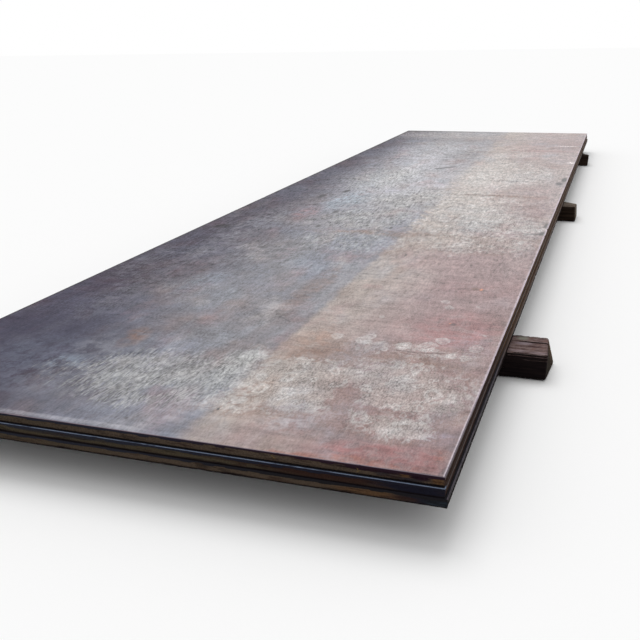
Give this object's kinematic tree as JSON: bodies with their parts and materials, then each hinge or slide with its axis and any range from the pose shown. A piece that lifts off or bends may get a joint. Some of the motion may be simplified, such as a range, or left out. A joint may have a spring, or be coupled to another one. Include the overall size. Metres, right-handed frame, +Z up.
{
  "type": "stack of hot-rolled steel plates on timber bearers",
  "caption": "Rectangular hot-rolled steel plates, stacked flat on sawn timber bearers that leave room under them for forks or slings.",
  "frame": {"origin": "on the ground, in the middle of the whole stack's outline seen from above", "axes": "+Z up, Y along the plates with the longer overhang towards -Y, X across the plates with the uneven bearer ends towards +X"},
  "size_m": [2.2828, 8.01, 0.1949],
  "materials": {
    "top_plate": "matt mill scale, water-stained and lightly rusted on its top face",
    "middle_plate": "dark mill scale with rusted sheared edges",
    "bottom_plate": "dark mill scale with rusted sheared edges",
    "bearer_timber": "weathered, cracked and stained sawn timber"
  },
  "bodies": {
    "root": {"plate_top": "top_plate", "plate_middle": "middle_plate", "plate_bottom": "bottom_plate", "bearer_near": "bearer_timber", "bearer_middle": "bearer_timber", "bearer_far": "bearer_timber"}
  },
  "joints": []
}
